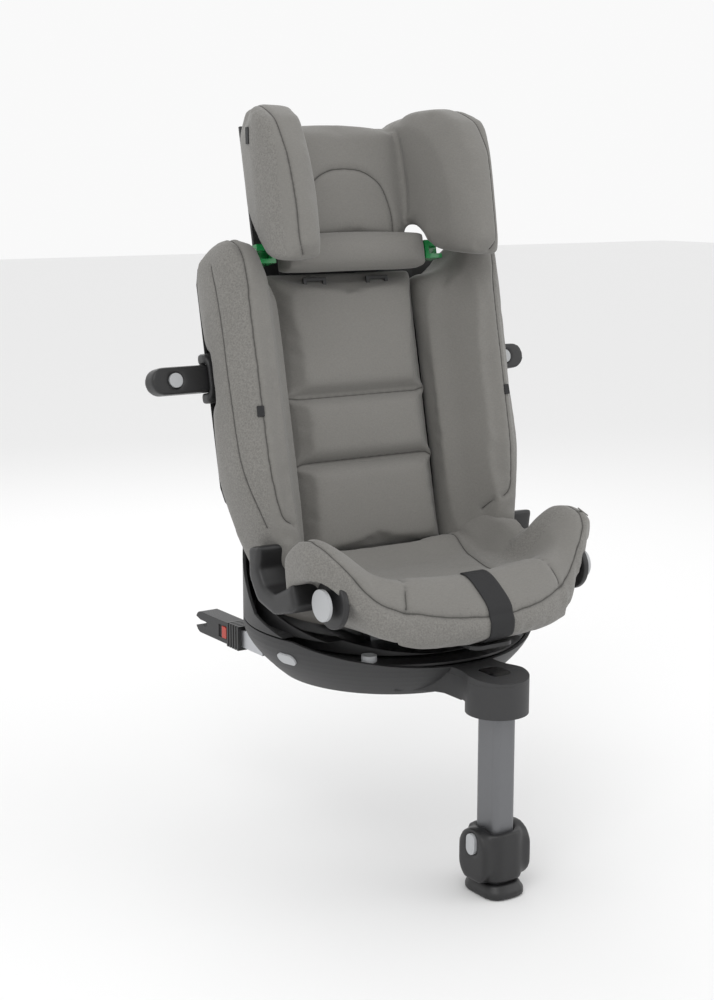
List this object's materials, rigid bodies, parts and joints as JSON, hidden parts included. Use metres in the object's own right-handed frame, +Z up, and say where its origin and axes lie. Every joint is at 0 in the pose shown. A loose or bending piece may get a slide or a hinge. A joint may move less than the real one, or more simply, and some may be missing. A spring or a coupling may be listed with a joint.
{
  "type": "convertible child car seat",
  "caption": "Swivelling child car seat: padded bucket with a height-adjustable headrest and side pods, on a round base with rear latch connectors and a folding load leg.",
  "frame": {"origin": "where the vertical swivel axis meets the flat underside of the base", "axes": "+Z up along the swivel axis; the seat faces -Y; the occupant's left is +X"},
  "size_m": [0.574, 0.4966, 0.9352],
  "materials": {
    "charcoal": "textured moulding",
    "near_black": "satin moulding",
    "steel": "zinc plated",
    "tube_grey": "satin grey",
    "pale_grey": "smooth moulding",
    "fabric": "fine woven melange",
    "heather": "coarse heather weave",
    "webbing": "ribbed elastic band",
    "green": "translucent green",
    "red": "smooth moulding",
    "indicator": "clear over black"
  },
  "bodies": {
    "base": {"base_shell": "charcoal", "base_deck": "near_black", "lobe_cap": "charcoal", "leg_indicator": "indicator", "leg_pivot_pin": "steel", "swivel_post": "steel", "post_cap": "steel", "bearing_race": "steel", "base_screws": "steel"},
    "deck_button_l": {"deck_button_left": "pale_grey"},
    "deck_button_r": {"deck_button_right": "pale_grey"},
    "side_button_l": {"side_button_left": "pale_grey"},
    "side_button_r": {"side_button_right": "pale_grey"},
    "latch": {"latch_frame": "steel", "connector_left": "charcoal", "connector_right": "charcoal", "sleeve_left": "near_black", "sleeve_right": "near_black"},
    "hook_l": {"hook_left": "steel"},
    "hook_r": {"hook_right": "steel"},
    "release_l": {"release_left": "red"},
    "release_r": {"release_right": "red"},
    "turntable": {"turntable": "near_black", "rear_collar": "charcoal", "recline_cradle": "steel"},
    "lock": {"lock_pin": "steel"},
    "seat": {"seat_shell": "charcoal", "back_shell": "charcoal", "seat_cushion": "fabric", "arm_left": "heather", "arm_right": "heather", "back_cushion": "fabric", "bolster_left": "heather", "bolster_right": "heather", "belt_guide_left": "near_black", "belt_guide_right": "near_black", "front_strap": "webbing", "harness_slots": "near_black", "pod_bezel_left": "near_black", "pod_bezel_right": "near_black"},
    "swivel_button_l": {"swivel_button_left": "pale_grey"},
    "swivel_button_r": {"swivel_button_right": "pale_grey"},
    "recline_lever": {"recline_lever": "near_black"},
    "pod_l": {"side_pod_left": "near_black"},
    "pod_r": {"side_pod_right": "near_black"},
    "pod_button_l": {"pod_button_left": "pale_grey"},
    "pod_button_r": {"pod_button_right": "pale_grey"},
    "headrest": {"headrest_shell": "charcoal", "headrest_centre": "fabric", "headrest_wing_left": "heather", "headrest_wing_right": "heather", "neck_pad": "fabric", "headrest_guide_left": "green", "headrest_guide_right": "green"},
    "headrest_lever": {"headrest_lever": "near_black"},
    "leg": {"leg_tube": "tube_grey", "foot_housing": "near_black"},
    "foot_button": {"foot_button": "pale_grey"},
    "foot": {"inner_tube": "steel", "foot_pad": "near_black"}
  },
  "joints": [
    {"name": "swivel", "type": "hinge", "parent": "base", "child": "turntable", "pos_m": [0, 0, 0.054], "axis": [0, 0, 1], "continuous": true},
    {"name": "recline", "type": "hinge", "parent": "turntable", "child": "seat", "pos_m": [0, -0.015, 0.3], "axis": [-1, 0, 0], "range_deg": [0, 16]},
    {"name": "headrest_height", "type": "slide", "parent": "seat", "child": "headrest", "axis": [0, 0.2079, 0.9781], "range_m": [0, 0.16]},
    {"name": "headrest_lever_pull", "type": "slide", "parent": "headrest", "child": "headrest_lever", "axis": [0, 0.2079, 0.9781], "range_m": [0, 0.01], "stiffness_N_per_m": 400, "springref_m": -0.004},
    {"name": "recline_lever_pull", "type": "slide", "parent": "seat", "child": "recline_lever", "axis": [0, -1, 0], "range_m": [0, 0.012], "stiffness_N_per_m": 400, "springref_m": -0.004},
    {"name": "swivel_press_left", "type": "slide", "parent": "seat", "child": "swivel_button_l", "axis": [-1, 0, 0], "range_m": [0, 0.0024], "stiffness_N_per_m": 800, "springref_m": -0.003},
    {"name": "swivel_press_right", "type": "slide", "parent": "seat", "child": "swivel_button_r", "axis": [1, 0, 0], "range_m": [0, 0.0024], "stiffness_N_per_m": 800, "springref_m": -0.003},
    {"name": "lock_lift", "type": "slide", "parent": "turntable", "child": "lock", "axis": [0, 0, 1], "range_m": [0, 0.006]},
    {"name": "pod_fold_left", "type": "hinge", "parent": "seat", "child": "pod_l", "pos_m": [0.211, 0.09675, 0.37236], "axis": [0, 0.2079, 0.9781], "range_deg": [0, 80]},
    {"name": "pod_fold_right", "type": "hinge", "parent": "seat", "child": "pod_r", "pos_m": [-0.211, 0.09675, 0.37236], "axis": [0, -0.2079, -0.9781], "range_deg": [0, 80]},
    {"name": "pod_press_left", "type": "slide", "parent": "pod_l", "child": "pod_button_l", "axis": [0, 0.9781, -0.2079], "range_m": [0, 0.003], "stiffness_N_per_m": 400, "springref_m": -0.003},
    {"name": "pod_press_right", "type": "slide", "parent": "pod_r", "child": "pod_button_r", "axis": [0, 0.9781, -0.2079], "range_m": [0, 0.003], "stiffness_N_per_m": 400, "springref_m": -0.003},
    {"name": "latch_slide", "type": "slide", "parent": "base", "child": "latch", "axis": [0, 1, 0], "range_m": [-0.05, 0.03]},
    {"name": "release_slide_left", "type": "slide", "parent": "latch", "child": "release_l", "axis": [0, 1, 0], "range_m": [0, 0.007]},
    {"name": "hook_turn_left", "type": "hinge", "parent": "latch", "child": "hook_l", "pos_m": [0.14, 0.19, 0.0355], "axis": [-1, 0, 0], "range_deg": [0, 14]},
    {"name": "release_slide_right", "type": "slide", "parent": "latch", "child": "release_r", "axis": [0, 1, 0], "range_m": [0, 0.007]},
    {"name": "hook_turn_right", "type": "hinge", "parent": "latch", "child": "hook_r", "pos_m": [-0.14, 0.19, 0.0355], "axis": [-1, 0, 0], "range_deg": [0, 14]},
    {"name": "deck_press_left", "type": "slide", "parent": "base", "child": "deck_button_l", "axis": [0, 0, -1], "range_m": [0, 0.003], "stiffness_N_per_m": 600, "springref_m": -0.003},
    {"name": "side_press_left", "type": "slide", "parent": "base", "child": "side_button_l", "axis": [-0.84, 0.1709, 0.515], "range_m": [0, 0.002], "stiffness_N_per_m": 600, "springref_m": -0.003},
    {"name": "deck_press_right", "type": "slide", "parent": "base", "child": "deck_button_r", "axis": [0, 0, -1], "range_m": [0, 0.003], "stiffness_N_per_m": 600, "springref_m": -0.003},
    {"name": "side_press_right", "type": "slide", "parent": "base", "child": "side_button_r", "axis": [0.84, 0.1709, 0.515], "range_m": [0, 0.002], "stiffness_N_per_m": 600, "springref_m": -0.003},
    {"name": "leg_fold", "type": "hinge", "parent": "base", "child": "leg", "pos_m": [0, -0.225, 0.006], "axis": [1, 0, 0], "range_deg": [0, 83]},
    {"name": "leg_extend", "type": "slide", "parent": "leg", "child": "foot", "axis": [0, 0, -1], "range_m": [0, 0.12]},
    {"name": "foot_press", "type": "slide", "parent": "leg", "child": "foot_button", "axis": [1, 0, 0], "range_m": [0, 0.003], "stiffness_N_per_m": 400, "springref_m": -0.003}
  ],
  "couplings": [
    {"joint": "lock_lift", "follows": "swivel_press_left", "ratio": 2.5},
    {"joint": "hook_turn_left", "follows": "release_slide_left", "rad_per_m": 34.9},
    {"joint": "hook_turn_right", "follows": "release_slide_right", "rad_per_m": 34.9}
  ]
}
